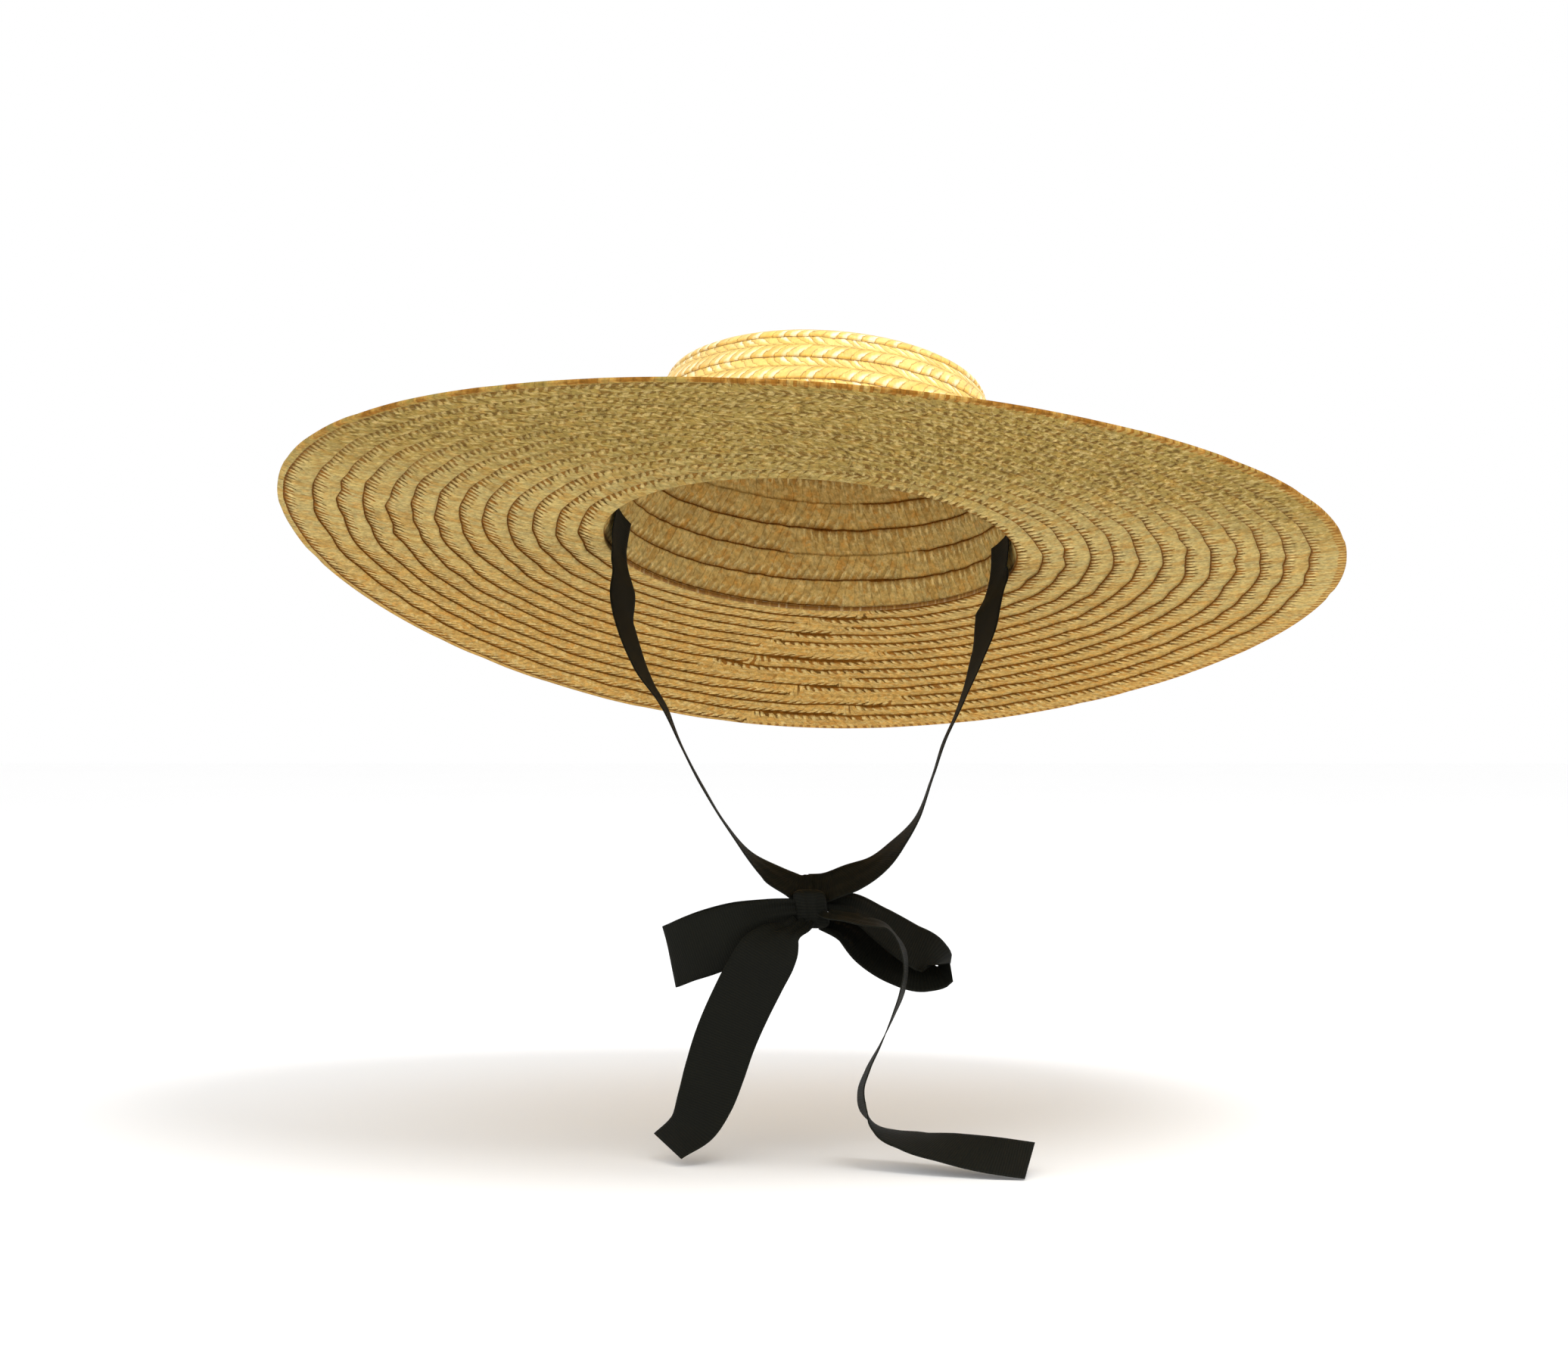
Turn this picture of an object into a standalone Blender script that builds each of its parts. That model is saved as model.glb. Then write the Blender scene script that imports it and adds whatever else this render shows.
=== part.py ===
# Wide-brim sewn-straw picture hat with ribbon ties in a bow.
# Metres, +Z up, +X to the viewer's right, the wearer faces -Y.
# The origin is the centre of the head opening.
import math

import bmesh
import bpy
import numpy as np
from mathutils import Matrix, Vector

# Driving sizes of the straw
BRIM_RADIUS = 0.250
HEAD_HALF_WIDTH = 0.0976
HEAD_HALF_DEPTH = 0.0951
CROWN_HEIGHT = 0.0825
CROWN_FLARE = 0.0018
CROWN_LEAN = 0.003
BRIM_DROOP = 0.018
PLAIT_WIDTH = 0.0168
PLAIT_PITCH = 0.0114
CROWN_PITCH = 0.0126
STRAW_THICKNESS = 0.0015
PLAIT_LAP = 0.0010

# How the hat sits: tipped back, and a little lower on the viewer's right
TIP_BACK_DEG = 16.6
LEAN_DEG = 3.9

# Driving sizes of the ribbon
RIBBON_WIDTH = 0.028
RIBBON_THICKNESS = 0.0010
STRAP_TUCK = 0.016
STRAP_BACK_DEG = 12.0
CHIN_DROP = 0.166
CHIN_FORWARD = 0.075
KNOT_WIDTH = 0.0130
KNOT_HEIGHT = 0.0160
KNOT_DEPTH = 0.0140
LOOP_REACH_LEFT = 0.064
LOOP_REACH_RIGHT = 0.057
TAIL_REACH_LEFT = 0.066
TAIL_REACH_RIGHT = 0.093
TAIL_DROP = 0.108
TAIL_FORWARD = 0.073

# Shares of the ribbon's width where it is gathered, and of the knot's size where pieces meet it
PINCH = 0.42
STRAP_END_PINCH = 0.52
STRAP_END_SLOPE = 0.22
STRAP_END_BACK = 0.75
STRAP_END_OUT = 0.36
STRAP_SLANT = 0.15
LOOP_ROOT_DEPTH = 0.26
KNOT_WAIST = 0.86
KNOT_FOLD = 0.10
KNOT_FOLDS = 6
KNOT_SQUARE = 4

# Clearance between pieces that touch
GAP = 0.0003

# Plain colours and roughness
CROWN_COLOUR = (0.80, 0.62, 0.28)
BRIM_COLOUR = (0.66, 0.50, 0.24)
RIBBON_COLOUR = (0.012, 0.012, 0.010)
STRAW_ROUGHNESS = 0.55
RIBBON_ROUGHNESS = 0.75

# Mesh fineness
AROUND = 48
ACROSS = 4
STRAP_STATIONS = 22
LOOP_STATIONS = 26
TAIL_LEFT_STATIONS = 24
TAIL_RIGHT_STATIONS = 32
CURVE_STEPS = 24
CROWN_STEPS = 400
SMALLEST_MERGE = 0.00001
SHARP_DEG = 35

# Height of the brim's edge over the opening's plane, as shares of BRIM_DROOP:
# lobes round the hat, cosine share, sine share
BRIM_WAVES = (
    (0, -0.52, 0.00),
    (1, 0.00, 0.05),
    (2, 0.49, 0.07),
    (3, -0.03, 0.07),
)
DROOP_POWER = 1.6

# Crown section from the base up: reach as a share of the head's half width, rise as a share of its height
CROWN_SECTION = (
    (1.000, 0.00),
    (0.965, 0.20),
    (0.915, 0.42),
    (0.862, 0.62),
    (0.815, 0.78),
    (0.772, 0.90),
    (0.742, 0.955),
    (0.690, 0.980),
    (0.500, 0.992),
    (0.250, 0.998),
    (0.000, 1.00),
)

# Chin straps: down as a share of CHIN_DROP, out as a share of the head's half width,
# forward as a share of CHIN_FORWARD, then the way that the width points, and the width as a share
STRAP_LEFT = (
    (0.10, 0.906, -0.10, 0.24, 1.0, 0.0, 1.0),
    (0.18, 0.904, 0.09, 0.22, 1.0, 0.0, 1.0),
    (0.27, 0.863, 0.27, 0.19, 1.0, 0.0, 1.0),
    (0.37, 0.788, 0.45, 0.12, 1.0, 0.0, 1.0),
    (0.46, 0.690, 0.58, 0.03, 1.0, 0.0, 1.0),
    (0.57, 0.600, 0.66, -0.02, 1.0, 0.0, 1.0),
    (0.67, 0.510, 0.71, -0.01, 1.0, 0.0, 1.0),
    (0.77, 0.405, 0.76, -0.02, 1.0, 0.0, 1.0),
    (0.855, 0.290, 0.79, 0.00, 1.0, 0.08, 0.98),
    (0.912, 0.180, 0.83, 0.05, 0.93, 0.35, 0.88),
    (0.938, 0.105, 0.87, 0.10, 0.92, 0.34, 0.66),
)
STRAP_RIGHT = (
    (0.16, 0.878, -0.06, -0.24, 1.0, 0.0, 1.0),
    (0.27, 0.836, 0.17, -0.18, 1.0, 0.0, 1.0),
    (0.36, 0.780, 0.33, -0.07, 1.0, 0.0, 1.0),
    (0.46, 0.705, 0.47, 0.01, 1.0, 0.0, 1.0),
    (0.55, 0.632, 0.57, 0.02, 1.0, 0.0, 1.0),
    (0.65, 0.570, 0.65, 0.03, 1.0, 0.0, 1.0),
    (0.76, 0.495, 0.70, -0.01, 1.0, 0.0, 1.0),
    (0.83, 0.400, 0.75, -0.08, 1.0, 0.12, 1.0),
    (0.885, 0.300, 0.81, -0.14, 0.96, 0.26, 0.92),
    (0.920, 0.185, 0.85, -0.16, 0.92, 0.34, 0.80),
    (0.938, 0.110, 0.87, -0.12, 0.92, 0.34, 0.66),
)

# Bow loops from the knot and back to it: out as a share of the loop's reach, forward and up as shares
# of the ribbon's width, then the way that the width points, and the width as a share
LOOP_LEFT = (
    (0.28, 0.17, -0.13, 0.20, 0.0, -1.0, 0.60),
    (0.48, 0.33, -0.31, 0.26, 0.0, -1.0, 0.86),
    (0.70, 0.32, -0.51, 0.26, 0.0, -1.0, 1.0),
    (0.90, 0.22, -0.67, 0.22, 0.0, -1.0, 1.0),
    (0.99, 0.00, -0.77, 0.20, 0.0, -1.0, 1.0),
    (0.92, -0.23, -0.71, 0.22, 0.0, -1.0, 1.0),
    (0.70, -0.38, -0.52, 0.26, 0.0, -1.0, 1.0),
    (0.48, -0.36, -0.32, 0.26, 0.0, -1.0, 0.86),
    (0.28, -0.25, -0.15, 0.20, 0.0, -1.0, 0.60),
)
LOOP_RIGHT = (
    (0.32, -0.16, 0.03, -0.05, -0.84, -0.52, 0.74),
    (0.56, -0.19, -0.27, -0.10, -0.82, -0.56, 0.92),
    (0.78, -0.18, -0.57, -0.16, -0.82, -0.54, 1.0),
    (0.95, -0.17, -0.80, -0.15, -0.87, -0.46, 1.0),
    (1.00, -0.14, -0.94, -0.08, -0.92, -0.38, 1.0),
    (0.88, -0.11, -1.03, -0.18, -0.88, -0.42, 1.0),
    (0.66, -0.12, -0.88, -0.20, -0.80, -0.56, 1.0),
    (0.46, -0.16, -0.63, -0.22, -0.77, -0.60, 0.92),
    (0.27, -0.20, -0.34, -0.20, -0.84, -0.50, 0.72),
)

# Free ends: sideways as a share of the tail's reach, forward as a share of TAIL_FORWARD,
# down as a share of TAIL_DROP, then the way that the width points, and the width as a share
TAIL_LEFT = (
    (0.105, 0.170, 0.065, 0.97, -0.22, 0.05, 0.54),
    (0.19, 0.22, 0.09, 0.95, -0.28, 0.02, 0.72),
    (0.27, 0.26, 0.15, 0.96, -0.24, -0.12, 0.94),
    (0.37, 0.28, 0.25, 0.96, -0.22, -0.16, 1.0),
    (0.48, 0.30, 0.38, 0.95, -0.20, -0.22, 1.0),
    (0.58, 0.32, 0.52, 0.94, -0.25, -0.23, 1.0),
    (0.65, 0.34, 0.65, 0.92, -0.33, -0.24, 1.0),
    (0.71, 0.37, 0.76, 0.84, -0.49, -0.26, 1.0),
    (0.79, 0.40, 0.86, 0.70, -0.68, -0.22, 1.0),
    (0.960, 0.445, 0.942, 0.60, -0.77, -0.13, 1.0),
)
TAIL_RIGHT = (
    (0.225, 0.33, 0.03, 0.05, -0.99, -0.10, 0.85),
    (0.360, 0.36, 0.060, 0.05, -0.99, -0.04, 0.98),
    (0.425, 0.38, 0.13, -0.11, -0.99, 0.08, 1.0),
    (0.445, 0.40, 0.225, -0.10, -0.99, 0.09, 1.0),
    (0.428, 0.415, 0.315, -0.11, -0.99, 0.10, 1.0),
    (0.388, 0.435, 0.405, -0.07, -0.99, 0.11, 1.0),
    (0.325, 0.46, 0.525, -0.01, -0.99, 0.12, 1.0),
    (0.262, 0.49, 0.63, 0.04, -0.99, 0.12, 1.0),
    (0.230, 0.515, 0.715, 0.07, -0.99, 0.13, 1.0),
    (0.240, 0.53, 0.78, 0.09, -0.99, 0.14, 1.0),
    (0.280, 0.55, 0.83, 0.02, -0.98, 0.10, 1.0),
    (0.345, 0.59, 0.866, -0.08, -0.99, -0.04, 1.0),
    (0.470, 0.68, 0.896, -0.16, -0.97, -0.16, 1.0),
    (0.635, 0.79, 0.912, -0.24, -0.92, -0.30, 1.0),
    (0.805, 0.88, 0.930, -0.25, -0.88, -0.40, 1.0),
    (1.000, 0.93, 0.950, -0.31, -0.86, -0.40, 1.0),
)

# Where each ribbon leaves the knot, as shares of its half width, half depth and half height,
# then the way that the ribbon's width points there
TAIL_ROOT_LEFT = ((-0.56, -1.11, -0.56), (0.97, 0.04, 0.10))
TAIL_ROOT_RIGHT = ((0.98, -1.04, -0.13), (0.0, -0.98, -0.10))
# Where each loop's two ends meet the knot: out as a share of its half width, up as shares of its half height
LOOP_ROOT_LEFT = (1.09, (-0.17, -0.17), (0.0, 0.0, -1.0))
LOOP_ROOT_RIGHT = (0.99, (0.35, -0.70), (0.0, -0.85, -0.50))

KNOT = Vector((0.0, -CHIN_FORWARD, -CHIN_DROP))
KNOT_HALF = Vector((KNOT_WIDTH, KNOT_DEPTH, KNOT_HEIGHT)) / 2


def clear_scene():
    for thing in list(bpy.data.objects):
        bpy.data.objects.remove(thing, do_unlink=True)


def finish(name, colour, roughness):
    made = bpy.data.materials.new(name)
    made.use_nodes = True
    shader = made.node_tree.nodes["Principled BSDF"]
    shader.inputs["Base Color"].default_value = (*colour, 1.0)
    shader.inputs["Roughness"].default_value = roughness
    shader.inputs["Metallic"].default_value = 0.0
    return made


def add_object(name, shape, material, parent=None):
    mesh = bpy.data.meshes.new(name)
    shape.to_mesh(mesh)
    shape.free()
    mesh.shade_smooth()
    mesh.set_sharp_from_angle(angle=math.radians(SHARP_DEG))
    mesh.materials.append(material)
    made = bpy.data.objects.new(name, mesh)
    bpy.context.scene.collection.objects.link(made)
    made.parent = parent
    return made


# Straw: sections are turned round the hat's axis, then made oval and drooped

def brim_section():
    """Closed section as (share of the brim's width, height): underside out, then the top back in."""
    width = BRIM_RADIUS - HEAD_HALF_WIDTH
    rows = round((width - PLAIT_WIDTH) / PLAIT_PITCH) + 1
    pitch = (width - PLAIT_WIDTH) / (rows - 1)
    half = STRAW_THICKNESS / 2
    under = []
    top = []
    for row in range(rows):
        inner = row * pitch
        outer = inner + PLAIT_WIDTH
        covered = inner + pitch if row < rows - 1 else outer
        under.append((inner, -half - PLAIT_LAP))
        under.append((covered, -half))
        shown_from = outer - pitch if row else 0.0
        top.append((shown_from, half))
        top.append((outer, half + (PLAIT_LAP if row < rows - 1 else 0.0)))
    return [(reach / width, height) for reach, height in under + top[::-1]]


def droop(angle, share):
    edge = sum(c * math.cos(lobes * angle) + s * math.sin(lobes * angle) for lobes, c, s in BRIM_WAVES)
    return BRIM_DROOP * edge * share ** DROOP_POWER


def turned(points, closed):
    shape = bmesh.new()
    corners = [shape.verts.new((reach, 0.0, height)) for reach, height in points]
    pairs = list(zip(corners, corners[1:] + corners[:1] if closed else corners[1:]))
    edges = [shape.edges.new(pair) for pair in pairs]
    bmesh.ops.spin(shape, geom=corners + edges, axis=(0, 0, 1), cent=(0, 0, 0),
                   angle=math.tau, steps=AROUND, use_merge=True, use_duplicate=False)
    bmesh.ops.remove_doubles(shape, verts=shape.verts, dist=SMALLEST_MERGE)
    bmesh.ops.recalc_face_normals(shape, faces=shape.faces)
    return shape


def make_brim(straw, hat):
    shape = turned([(1.0 + share, height) for share, height in brim_section()], closed=True)
    for corner in shape.verts:
        angle = math.atan2(corner.co.y, corner.co.x)
        share = math.hypot(corner.co.x, corner.co.y) - 1.0
        across = HEAD_HALF_WIDTH + share * (BRIM_RADIUS - HEAD_HALF_WIDTH)
        along = HEAD_HALF_DEPTH + share * (BRIM_RADIUS - HEAD_HALF_DEPTH)
        corner.co.x = across * math.cos(angle)
        corner.co.y = along * math.sin(angle)
        corner.co.z += droop(angle, max(share, 0.0))
    return add_object("brim", shape, straw, hat)


def crown_base_height():
    """Height of the crown's foot: just above the brim's top at the crown's outer wall."""
    return STRAW_THICKNESS / 2 + PLAIT_LAP * (CROWN_FLARE / PLAIT_WIDTH) + GAP


def crown_line():
    """Outer face of the crown as (reach, height), finely and evenly spaced from the top centre down."""
    foot = crown_base_height()
    reach = np.array([row[0] for row in CROWN_SECTION]) * (HEAD_HALF_WIDTH + CROWN_FLARE)
    rise = foot + np.array([row[1] for row in CROWN_SECTION]) * (CROWN_HEIGHT - foot)
    points = smooth_line(np.stack([reach, rise], axis=1)[::-1], CROWN_STEPS)
    points[:, 0] = np.maximum(points[:, 0], 0.0)
    return points


def crown_section():
    """Outer face in lapped rows from the top centre to the foot, then the plain inner face back."""
    line = crown_line()
    step = np.diff(line, axis=0)
    run = np.concatenate([[0.0], np.cumsum(np.hypot(step[:, 0], step[:, 1]))])
    rows = round(run[-1] / CROWN_PITCH)
    pitch = run[-1] / rows

    def at(distance, out):
        place = np.array([np.interp(distance, run, line[:, i]) for i in (0, 1)])
        ahead = np.array([np.interp(distance + pitch / 8, run, line[:, i]) for i in (0, 1)])
        behind = np.array([np.interp(distance - pitch / 8, run, line[:, i]) for i in (0, 1)])
        way = (ahead - behind) / np.hypot(*(ahead - behind))
        return place + out * np.array([-way[1], way[0]])

    outer = []
    inner = []
    for row in range(rows):
        outer.append(at(row * pitch, 0.0))
        outer.append(at((row + 1) * pitch, PLAIT_LAP if row < rows - 1 else 0.0))
        inner.append(at(row * pitch, -STRAW_THICKNESS))
    outer[0][0] = 0.0
    inner[0][0] = 0.0
    foot = outer[-1] - np.array([STRAW_THICKNESS, 0.0])
    return [tuple(point) for point in outer + [foot] + inner[::-1]]


def make_crown(straw, hat):
    shape = turned(crown_section(), closed=False)
    oval = (HEAD_HALF_DEPTH + CROWN_FLARE) / (HEAD_HALF_WIDTH + CROWN_FLARE)
    for corner in shape.verts:
        corner.co.y *= oval
        corner.co.x += CROWN_LEAN * corner.co.z / CROWN_HEIGHT
    return add_object("crown", shape, straw, hat)


def crown_wall_at(height, side):
    """How far out a strap may lie at this height on the viewer's left (-1) or right (1):
    inside the crown's wall and inside the brim's opening."""
    line = crown_line()[::-1]
    outer = float(np.interp(height, line[:, 1], line[:, 0]))
    flat_side = min(outer - STRAW_THICKNESS, HEAD_HALF_WIDTH) * math.cos(math.pi / AROUND)
    return side * flat_side + CROWN_LEAN * height / CROWN_HEIGHT


# Ribbon: a flat strip follows a smooth line through its rows, then gets its thickness

def smooth_line(rows, count):
    """Smooth curve through the rows, read at evenly spaced stations, with its direction added.

    Each stretch is a cubic whose slopes at the rows are the neighbours' slopes weighted by distance.
    """
    rows = np.asarray(rows, dtype=float)
    places = min(3, rows.shape[1])
    gap = np.linalg.norm(np.diff(rows[:, :places], axis=0), axis=1)[:, None]
    slope = np.diff(rows, axis=0) / gap
    between = (slope[:-1] * gap[1:] + slope[1:] * gap[:-1]) / (gap[1:] + gap[:-1])
    lean = np.vstack([slope[:1], between, slope[-1:]])
    t = np.linspace(0.0, 1.0, CURVE_STEPS, endpoint=False)[:, None]
    fine = [(2 * t ** 3 - 3 * t ** 2 + 1) * rows[i] + (t ** 3 - 2 * t ** 2 + t) * gap[i] * lean[i]
            + (3 * t ** 2 - 2 * t ** 3) * rows[i + 1] + (t ** 3 - t ** 2) * gap[i] * lean[i + 1]
            for i in range(len(gap))]
    fine = np.vstack(fine + [rows[-1:]])
    run = np.concatenate([[0.0], np.cumsum(np.linalg.norm(np.diff(fine[:, :places], axis=0), axis=1))])
    fine = np.hstack([fine, np.gradient(fine[:, :places], axis=0)])
    stations = np.linspace(0.0, run[-1], count)
    return np.stack([np.interp(stations, run, column) for column in fine.T], axis=1)


def make_ribbon(name, rows, stations, material):
    """rows: x, y, z, the way that the width points (3), width, and how far the middle bows out."""
    line = smooth_line(rows, stations)
    shape = bmesh.new()
    grid = []
    for x, y, z, wx, wy, wz, width, bow, *way in line:
        way = Vector(way).normalized()
        side = Vector((wx, wy, wz))
        side = (side - side.dot(way) * way).normalized()
        face = way.cross(side)
        strip = []
        for k in range(ACROSS + 1):
            share = k / ACROSS - 0.5
            place = Vector((x, y, z)) + side * share * width + face * bow * (1 - 4 * share * share)
            strip.append(shape.verts.new(place))
        grid.append(strip)
    for near, far in zip(grid, grid[1:]):
        for k in range(ACROSS):
            shape.faces.new((near[k], near[k + 1], far[k + 1], far[k]))
    made = add_object(name, shape, material)
    wall = made.modifiers.new("thickness", "SOLIDIFY")
    wall.thickness = RIBBON_THICKNESS
    wall.offset = 0.0
    return made


def strap_rows(table, side, hat_turn):
    """side is -1 on the viewer's left and 1 on the right. The top is stitched inside the crown."""
    rows = []
    chord_rise = RIBBON_WIDTH ** 2 / (8 * HEAD_HALF_WIDTH)
    stand_off = 2 * GAP + RIBBON_THICKNESS / 2 + chord_rise
    back = math.radians(STRAP_BACK_DEG)
    oval = HEAD_HALF_DEPTH / HEAD_HALF_WIDTH
    for height in (STRAP_TUCK, STRAP_TUCK / 2, 0.0, -STRAW_THICKNESS - PLAIT_LAP):
        inward = stand_off + STRAP_SLANT * (STRAP_TUCK - height)
        reach = crown_wall_at(max(height, 0.0), side) - side * inward
        place = hat_turn @ Vector((reach * math.cos(back), abs(reach) * oval * math.sin(back), height))
        wide = hat_turn @ Vector((-side * math.sin(back), math.cos(back), 0.0))
        rows.append((*place, *wide, RIBBON_WIDTH, side * chord_rise))
    for down, out, forward, wx, wy, wz, share in table:
        rows.append((side * out * HEAD_HALF_WIDTH, -forward * CHIN_FORWARD, -down * CHIN_DROP,
                     wx, wy, wz, share * RIBBON_WIDTH, 0.0))
    end_width = STRAP_END_PINCH * RIBBON_WIDTH
    over_knot = KNOT_HEIGHT / 2 + 2 * GAP + RIBBON_THICKNESS + STRAP_END_SLOPE * end_width / 2
    for out in (STRAP_END_OUT * KNOT_WIDTH, GAP):
        place = KNOT + Vector((side * out, STRAP_END_BACK * KNOT_DEPTH, over_knot))
        rows.append((*place, 0.0, 1.0, STRAP_END_SLOPE, end_width, 0.0))
    return rows


def loop_rows(table, side, reach, root, first_depth):
    """The loop leaves the knot's side and comes back; first_depth is how far its first end lies from the middle."""
    rows = []
    root_out, heights, way = root
    for depth, up in zip((first_depth, LOOP_ROOT_DEPTH * KNOT_DEPTH), heights):
        place = KNOT + Vector((side * root_out * KNOT_HALF.x, depth, up * KNOT_HALF.z))
        rows.append((*place, *way, PINCH * RIBBON_WIDTH, 0.0))
    between = []
    for out, forward, up, wx, wy, wz, share in table:
        place = KNOT + Vector((side * out * reach, -forward * RIBBON_WIDTH, up * RIBBON_WIDTH))
        between.append((*place, wx, wy, wz, share * RIBBON_WIDTH, 0.0))
    return rows[:1] + between + rows[1:]


def tail_rows(table, side, reach, root):
    shares, way = root
    place = KNOT + Vector([share * half for share, half in zip(shares, KNOT_HALF)])
    rows = [(*place, *way, PINCH * RIBBON_WIDTH, 0.0)]
    for sideways, forward, down, wx, wy, wz, share in table:
        place = KNOT + Vector((side * sideways * reach, -forward * TAIL_FORWARD, -down * TAIL_DROP))
        rows.append((*place, wx, wy, wz, share * RIBBON_WIDTH, 0.0))
    return rows


def make_knot(material):
    """A pinched turn of ribbon: a squared ball with upright folds in front."""
    shape = bmesh.new()
    bmesh.ops.create_uvsphere(shape, u_segments=16, v_segments=10, radius=1.0)
    for corner in shape.verts:
        place = corner.co.copy()
        place /= sum(abs(value) ** KNOT_SQUARE for value in place) ** (1 / KNOT_SQUARE)
        waist = KNOT_WAIST + (1 - KNOT_WAIST) * abs(place.z)
        ridge = (1 + math.cos(KNOT_FOLDS * place.x)) / 2
        fold = 1.0 - KNOT_FOLD * ridge * max(-place.y, 0.0)
        corner.co = KNOT + Vector((place.x * waist * KNOT_HALF.x, place.y * fold * KNOT_HALF.y,
                                   place.z * KNOT_HALF.z))
    return add_object("bow_knot", shape, material)


def ribbon_finish(name):
    return finish(name, RIBBON_COLOUR, RIBBON_ROUGHNESS)


def make_hat():
    clear_scene()
    hat = bpy.data.objects.new("hat_seat", None)
    bpy.context.scene.collection.objects.link(hat)
    hat.rotation_euler = (math.radians(-TIP_BACK_DEG), math.radians(LEAN_DEG), 0.0)
    lean = Matrix.Rotation(math.radians(LEAN_DEG), 3, "Y")
    hat_turn = lean @ Matrix.Rotation(math.radians(-TIP_BACK_DEG), 3, "X")
    make_crown(finish("crown_straw", CROWN_COLOUR, STRAW_ROUGHNESS), hat)
    make_brim(finish("brim_straw", BRIM_COLOUR, STRAW_ROUGHNESS), hat)
    make_ribbon("chin_strap_left", strap_rows(STRAP_LEFT, -1, hat_turn), STRAP_STATIONS,
                ribbon_finish("strap_left_ribbon"))
    make_ribbon("chin_strap_right", strap_rows(STRAP_RIGHT, 1, hat_turn), STRAP_STATIONS,
                ribbon_finish("strap_right_ribbon"))
    depth = LOOP_ROOT_DEPTH * KNOT_DEPTH
    make_ribbon("bow_loop_left", loop_rows(LOOP_LEFT, -1, LOOP_REACH_LEFT, LOOP_ROOT_LEFT, -depth),
                LOOP_STATIONS, ribbon_finish("loop_left_ribbon"))
    make_ribbon("bow_loop_right", loop_rows(LOOP_RIGHT, 1, LOOP_REACH_RIGHT, LOOP_ROOT_RIGHT, depth),
                LOOP_STATIONS, ribbon_finish("loop_right_ribbon"))
    make_ribbon("ribbon_tail_left", tail_rows(TAIL_LEFT, -1, TAIL_REACH_LEFT, TAIL_ROOT_LEFT),
                TAIL_LEFT_STATIONS, ribbon_finish("tail_left_ribbon"))
    make_ribbon("ribbon_tail_right", tail_rows(TAIL_RIGHT, 1, TAIL_REACH_RIGHT, TAIL_ROOT_RIGHT),
                TAIL_RIGHT_STATIONS, ribbon_finish("tail_right_ribbon"))
    make_knot(ribbon_finish("knot_ribbon"))


make_hat()
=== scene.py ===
import math

import bmesh
import bpy
import numpy as np
from mathutils import Matrix, Vector


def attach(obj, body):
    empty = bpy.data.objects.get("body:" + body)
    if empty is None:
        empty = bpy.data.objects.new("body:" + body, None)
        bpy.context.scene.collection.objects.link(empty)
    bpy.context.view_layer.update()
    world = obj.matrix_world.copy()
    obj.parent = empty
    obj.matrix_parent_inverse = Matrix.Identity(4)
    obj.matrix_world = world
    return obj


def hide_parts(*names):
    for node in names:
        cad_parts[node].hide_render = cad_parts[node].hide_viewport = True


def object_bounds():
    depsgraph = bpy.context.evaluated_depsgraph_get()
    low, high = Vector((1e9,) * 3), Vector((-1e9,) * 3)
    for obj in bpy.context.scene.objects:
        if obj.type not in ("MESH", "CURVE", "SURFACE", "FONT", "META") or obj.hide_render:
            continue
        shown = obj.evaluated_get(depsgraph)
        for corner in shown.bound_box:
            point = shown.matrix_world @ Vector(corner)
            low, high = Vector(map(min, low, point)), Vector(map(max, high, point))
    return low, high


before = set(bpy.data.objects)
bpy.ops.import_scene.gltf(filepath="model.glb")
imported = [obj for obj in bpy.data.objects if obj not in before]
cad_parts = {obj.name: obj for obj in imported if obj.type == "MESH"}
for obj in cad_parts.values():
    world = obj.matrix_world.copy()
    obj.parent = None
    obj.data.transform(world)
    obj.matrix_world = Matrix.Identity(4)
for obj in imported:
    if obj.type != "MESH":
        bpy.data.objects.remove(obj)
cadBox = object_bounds()

# Metres, +Z up, +X to the viewer's right, the wearer faces -Y. The origin is the centre of the head opening.

view = {
    "place": (-0.0122, -1.500, -0.0599),
    "lens": 72.85,
    "sensor": 36.0,
    "nearest": 0.05,
}


def makeCamera():
    data = bpy.data.cameras.new("photoCamera")
    data.lens = view["lens"]
    data.sensor_width = view["sensor"]
    data.clip_start = view["nearest"]
    bpy.context.scene.view_settings.view_transform = "Standard"
    camera = bpy.data.objects.new("photoCamera", data)
    camera.location = view["place"]
    camera.rotation_euler = (math.radians(90), 0.0, 0.0)
    bpy.context.scene.collection.objects.link(camera)
    bpy.context.scene.camera = camera


# Shader arithmetic

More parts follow.
